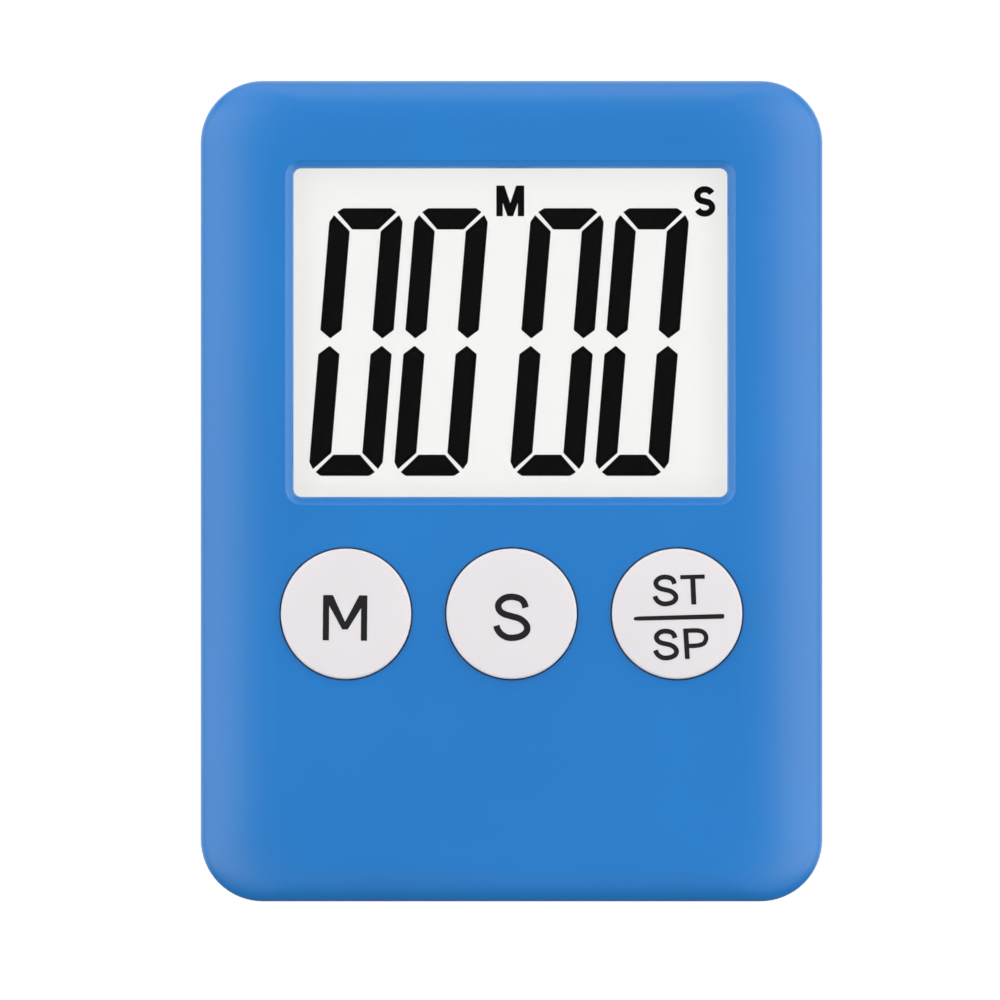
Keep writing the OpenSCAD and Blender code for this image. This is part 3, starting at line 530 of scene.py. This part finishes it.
def build_button(name):
    x, _, z = BUTTONS[name]
    bm = bmesh.new()
    rim = arc_points(BUTTON_R - CAP_RIM, CAP_D + CAP_RIM, CAP_RIM, 270, 360, 6)
    e = FLANGE_EASE
    flange = [(BUTTON_R, FLANGE_D0), (FLANGE_R - e, FLANGE_D0), (FLANGE_R, FLANGE_D0 + e),
              (FLANGE_R, FLANGE_D1 - e), (FLANGE_R - e, FLANGE_D1)]
    stem = [(STEM_R + e, FLANGE_D1), (STEM_R, FLANGE_D1 + e), (STEM_R, STEM_D - e),
            (STEM_R - e, STEM_D), (0, STEM_D)]
    turned(bm, x, z, [(0, CAP_D), (BUTTON_R * 0.6, CAP_D)] + rim + flange + stem, 160)
    obj = new_object(name + "_cap", bm)
    slot_cut = bmesh.new()
    box_island(slot_cut, x - KEY_SLOT_HALF, x + KEY_SLOT_HALF, *KEY_SLOT_D,
               z + KEY_SLOT_Z[0], z + KEY_SLOT_Z[1])
    boolean(obj, slot_cut, "DIFFERENCE", "key_slot")
    soften(obj, 32, weighted=True)
    return finish_piece(obj, name, "cap", "button_white", name)


def catmull(points, per=6):
    """A smooth run of points through the given ones."""
    ext = [2 * Vector(points[0]) - Vector(points[1])] + [Vector(p) for p in points]
    ext.append(2 * Vector(points[-1]) - Vector(points[-2]))
    out = []
    for i in range(1, len(ext) - 2):
        a, b, c, d = ext[i - 1:i + 3]
        for k in range(per):
            t = k / per
            out.append(0.5 * (2 * b + (c - a) * t + (2 * a - 5 * b + 4 * c - d) * t ** 2
                              + (3 * b - a - 3 * c + d) * t ** 3))
    out.append(ext[-2])
    return out


def ribbon(bm, pts, w, place, d0, d1):
    """A printed stroke of width w along points, from depth d0 to d1."""
    pts = [Vector(p) for p in pts]
    rings = []
    for i, p in enumerate(pts):
        tangent = (pts[min(i + 1, len(pts) - 1)] - pts[max(i - 1, 0)]).normalized()
        side = Vector((-tangent.y, tangent.x)) * w / 2
        left, right = place(p + side), place(p - side)
        rings.append([P(left[0], d0, left[1]), P(right[0], d0, right[1]),
                      P(right[0], d1, right[1]), P(left[0], d1, left[1])])
    loft(bm, rings)


def plate(bm, pts, place, d0, d1):
    flat = [place(Vector(p)) for p in pts]
    loft(bm, [[P(x, d, z) for x, z in flat] for d in (d0, d1)])


LETTER_S = [(1.22, 0.85), (1.06, 1.33), (0.68, 1.66), (0.0, 1.81), (-0.65, 1.69), (-1.10, 1.31),
            (-1.19, 0.92), (-1.0, 0.52), (-0.59, 0.26), (0.0, 0.09), (0.62, -0.09), (1.08, -0.4),
            (1.34, -0.8), (1.29, -1.26), (0.88, -1.62), (0.27, -1.79), (-0.39, -1.77),
            (-0.95, -1.46), (-1.25, -1.06), (-1.36, -0.73)]
SMALL_S = (0.68, 0.655)  # the S of ST and SP, as a share of the large one
LETTER_P_BOWL = [(-1.0, 1.19), (0.1, 1.19), (0.62, 1.05), (0.88, 0.72), (0.88, 0.36),
                 (0.66, 0.02), (0.1, -0.14), (-0.9, -0.16)]
INK_T, INK_ROOT = 0.02, 0.005  # how far the ink stands proud, and how far it sinks in
INK_LAP = 0.004  # lifts a stroke that crosses another


def placer(cx, cz, turn_deg=0.0):
    """Places a letter's points with their middle at cx, cz, turned a little."""
    turn = Matrix.Rotation(math.radians(turn_deg), 2)
    return lambda p: tuple(turn @ Vector((p[0], p[1])) + Vector((cx, cz)))


def build_legend(button, draw):
    x, _, z = BUTTONS[button]
    bm = bmesh.new()
    draw(bm, x, z, CAP_D - INK_T, CAP_D + INK_ROOT)
    obj = new_object(button + "_legend", bm, 30)
    return finish_piece(obj, button, "ink", "carbon_ink")


def draw_m(bm, x, z, d0, d1):
    w, h, t = 3.9, 4.0, 0.54
    pts = [(-w / 2, -h / 2), (-w / 2 + t, -h / 2), (-w / 2 + t, h * 0.27), (-0.24, -h * 0.255),
           (0.24, -h * 0.255), (w / 2 - t, h * 0.22), (w / 2 - t, -h / 2), (w / 2, -h / 2),
           (w / 2, h / 2), (w / 2 - 0.72, h / 2), (0.0, -h * 0.09), (-w / 2 + 0.86, h / 2),
           (-w / 2, h / 2)]
    plate(bm, pts, placer(x - 0.08, z - 0.36, turn_deg=-0.6), d0, d1)


def draw_s(bm, x, z, d0, d1):
    ribbon(bm, catmull(LETTER_S), 0.57, placer(x + 0.02, z - 0.31), d0, d1)


def draw_start_stop(bm, x, z, d0, d1):
    t = 0.43

    def at(dx, dz):
        return placer(x + dx, z + dz, turn_deg=1.5)

    letter = [(p[0] * SMALL_S[0], p[1] * SMALL_S[1]) for p in LETTER_S]
    for dx, dz in ((-1.05, 2.06), (-1.0, -2.71)):
        ribbon(bm, catmull(letter), t, at(dx, dz), d0, d1)
    cross = at(1.38, 2.14)
    plate(bm, [(-1.08, 1.3), (-1.08, 0.93), (-0.2, 0.93), (-0.16, -1.32), (0.28, -1.32),
               (0.24, 0.93), (1.08, 0.93), (1.08, 1.3)], cross, d0, d1)
    bar = [(-4.0, -0.04), (-3.92, -0.15), (-3.6, -0.19), (3.9, -0.21), (4.0, -0.1), (4.02, 0.1),
           (3.92, 0.21), (-3.6, 0.18), (-3.92, 0.12)]
    plate(bm, bar, at(0.15, -0.32), d0, d1)
    stop = at(1.66, -2.66)
    ribbon(bm, catmull(LETTER_P_BOWL), 0.4, stop, d0, d1)
    plate(bm, [(-1.0, -1.3), (-0.58, -1.3), (-0.66, 1.38), (-1.1, 1.38)], stop,
          d0 - INK_LAP, d1)


for button in BUTTONS:
    build_button(button)
build_legend("button_m", draw_m)
build_legend("button_s", draw_s)
build_legend("button_stsp", draw_start_stop)

# ---------------------------------------------------------------- keypad, wires

key_lo, key_hi = span("rubber_keypad")
SHEET = ((0.1, 4.6), (0, 4.7), (0, 5.3), (0.1, 5.4))  # how far in from the edge, and depth
SHEET_R, DOME_HOLE_R = 1.0, 4.25
# a dome's outside from its top to its foot, then its hollow back up: radius, depth
DOME = ((0, 3.25), (2.5, 3.25), (2.7, 3.35), (4.2, 4.55), (4.24, 4.7), (4.24, 5.38), (3.7, 5.38),
        (3.7, 4.85), (2.2, 4.18), (0, 4.18))


def build_keypad():
    web = bmesh.new()
    w, h = key_hi[0] - key_lo[0], key_hi[2] - key_lo[2]
    cx, cz = (key_hi[0] + key_lo[0]) / 2, (key_hi[2] + key_lo[2]) / 2
    rings = []
    for off, d in SHEET:
        rim = outline(w - 2 * off, h - 2 * off, SHEET_R, 6, 2)
        rings.append([P(x + cx, d, z + cz) for x, z in rim])
    loft(web, rings)
    obj = new_object("keypad_sheet", web)
    holes = bmesh.new()
    add_rods(holes, [(c[0], c[2]) for c in BUTTONS.values()], DOME_HOLE_R, 4.0, 6.0, 64)
    boolean(obj, holes, "DIFFERENCE", "dome_holes")
    soften(obj, 32, weighted=True)
    finish_piece(obj, "case", "rubber", "keypad_rubber", "rubber_keypad")
    for name, c in BUTTONS.items():
        dome = bmesh.new()
        turned(dome, c[0], c[2], DOME, 72)
        piece = new_object(name + "_dome", dome)
        finish_piece(piece, "case", "rubber", "keypad_rubber")
        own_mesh(piece)


build_keypad()


WIRE_R, BARE_R, BARE_SHARE = 0.27, 0.16, 0.08


def wire_piece(name, look, points, replaced):
    """A smooth insulated wire through the CAD wire's own points, thinner at its bared ends."""
    path = catmull([P(*p) for p in points], 8)
    bm = bmesh.new()
    rings = []
    for i, p in enumerate(path):
        along = (path[min(i + 1, len(path) - 1)] - path[max(i - 1, 0)]).normalized()
        side = along.cross(Vector((0.13, 0.21, 0.97))).normalized()
        up = side.cross(along)
        share = i / (len(path) - 1)
        bare = share < BARE_SHARE or share > 1 - BARE_SHARE
        r = (BARE_R if bare else WIRE_R) * MM
        rings.append([p + r * (side * math.cos(a) + up * math.sin(a))
                      for a in (math.tau * k / 16 for k in range(16))])
    loft(bm, rings)
    obj = new_object(name, bm)
    return finish_piece(obj, "case", look, "wire_pvc", *replaced)


wire_piece("buzzer_wire_a", "pvc_red",
           [(2, 8.0, 62.5), (6, 7.6, 64.5), (11, 7.3, 65.5), (13.2, 6.5, 66.4)], ["buzzer_wires"])
wire_piece("buzzer_wire_b", "pvc_black",
           [(7.6, 8.1, 58), (9.6, 7.6, 55.4), (11, 7.3, 53.6), (12.4, 6.5, 52.2)], [])
wire_piece("battery_wire_pos", "pvc_red",
           [(15.4, 5.1, 16.5), (15.2, 6.6, 17.7), (15.2, 7, 18.6), (15.2, 6.5, 19.6)],
           ["battery_wires"])
wire_piece("battery_wire_neg", "pvc_black",
           [(18.2, 4.2, 16.5), (18.4, 6.4, 17.7), (18.4, 7, 18.6), (18.4, 6.5, 19.6)], [])

# ---------------------------------------------------------------- camera, stage and light

LENS = 300.0
SENSOR = 36.0
FRAME_W = 88.5  # width in view at the depth of the case's outline
AIM_X, AIM_Z = -1.02, 35.52
OUTLINE_D = 2.4
FLOOR_DROP = 18.0

cam_data = bpy.data.cameras.new("camera")
cam_data.lens = LENS
cam_data.sensor_width = SENSOR
cam_data.clip_start, cam_data.clip_end = 0.01, 20
camera = bpy.data.objects.new("camera", cam_data)
scene.collection.objects.link(camera)
camera.location = P(AIM_X, OUTLINE_D - FRAME_W * LENS / SENSOR, AIM_Z)
camera.rotation_euler = (math.radians(90), 0, 0)
scene.camera = camera


def stage_material(name, glow_strength, paint=None):
    """White studio paper. With paint it also takes soft shadows when seen from above."""
    mat = bpy.data.materials.new(name)
    mat.use_nodes = True
    tree = mat.node_tree
    tree.nodes.clear()
    out = tree.nodes.new("ShaderNodeOutputMaterial")
    glow = tree.nodes.new("ShaderNodeEmission")
    glow.inputs["Color"].default_value = (1, 1, 1, 1)
    glow.inputs["Strength"].default_value = glow_strength
    if not paint:
        tree.links.new(glow.outputs["Emission"], out.inputs["Surface"])
        return mat
    paper = tree.nodes.new("ShaderNodeBsdfDiffuse")
    paper.inputs["Color"].default_value = (paint, paint, paint, 1)
    facing = tree.nodes.new("ShaderNodeLayerWeight")
    facing.inputs["Blend"].default_value = 0.5
    ramp = tree.nodes.new("ShaderNodeMapRange")
    ramp.inputs["From Min"].default_value = 0.55
    ramp.inputs["From Max"].default_value = 0.9
    mix = tree.nodes.new("ShaderNodeMixShader")
    tree.links.new(facing.outputs["Facing"], ramp.inputs["Value"])
    tree.links.new(ramp.outputs["Result"], mix.inputs["Fac"])
    tree.links.new(paper.outputs["BSDF"], mix.inputs[1])
    tree.links.new(glow.outputs["Emission"], mix.inputs[2])
    tree.links.new(mix.outputs["Shader"], out.inputs["Surface"])
    return mat


def stage_only(obj, mat):
    """Seen by the camera alone, so the white surround doesn't tint the object."""
    obj.data.materials.append(mat)
    obj.visible_diffuse = False
    obj.visible_glossy = False
    obj.visible_transmission = False
    obj.visible_shadow = False


FLOOR_R_M, SURROUND_R_M = 1.9, 2.0
PAPER_GLOW, PAPER_WHITE = 1.02, 0.93

# the floor is low enough for the battery cover to slide out above it
bm = bmesh.new()
bmesh.ops.create_circle(bm, cap_ends=True, segments=96, radius=FLOOR_R_M)
bmesh.ops.translate(bm, verts=bm.verts, vec=(0, 0, (shell_lo[2] - FLOOR_DROP) * MM))
stage_only(new_object("floor", bm), stage_material("floor_paper", PAPER_GLOW, PAPER_WHITE))
bm = bmesh.new()
bmesh.ops.create_uvsphere(bm, u_segments=48, v_segments=24, radius=SURROUND_R_M)
stage_only(new_object("surround", bm), stage_material("backdrop_paper", PAPER_GLOW))

world = bpy.data.worlds.new("studio")
world.use_nodes = True
scene.world = world
world.node_tree.nodes["Background"].inputs["Color"].default_value = (1, 1, 1, 1)
world.node_tree.nodes["Background"].inputs["Strength"].default_value = 0.2


def softbox(name, place, size, glow):
    """A soft light aimed at the middle of the timer; glow is its radiance."""
    data = bpy.data.lights.new(name, "AREA")
    data.shape = "RECTANGLE"
    data.size, data.size_y = size
    data.energy = glow * math.pi * size[0] * size[1]
    lamp = bpy.data.objects.new(name, data)
    scene.collection.objects.link(lamp)
    lamp.location = place
    aim = Vector((0, 0, MID_Z * MM))
    lamp.rotation_euler = (aim - Vector(place)).to_track_quat("-Z", "Y").to_euler()


# the light from the right is a little stronger
for s, side, glow in ((-1, "left", 1.8), (1, "right", 2.15)):
    softbox("front_" + side, (0.58 * s, -0.40, 0.06), (0.9, 1.0), glow)
    softbox("rear_" + side, (0.60 * s, 0.42, 0.12), (0.8, 0.9), 1.2)
    softbox("high_" + side, (0.40 * s, -0.42, 0.52), (0.7, 0.5), 0.5)
    softbox("low_" + side, (0.50 * s, -0.34, -0.40), (0.7, 0.5), 0.3)
softbox("top_front", (0, -0.16, 0.72), (1.2, 0.6), 1.35)
softbox("low_front", (0, -0.46, -0.46), (1.0, 0.5), 0.3)
softbox("top_rear", (0, 0.5, 0.62), (1.0, 0.7), 0.95)

scene.view_settings.view_transform = "Standard"
scene.view_settings.look = "None"
scene.view_settings.exposure = 0.0
scene.cycles.transparent_max_bounces = 48
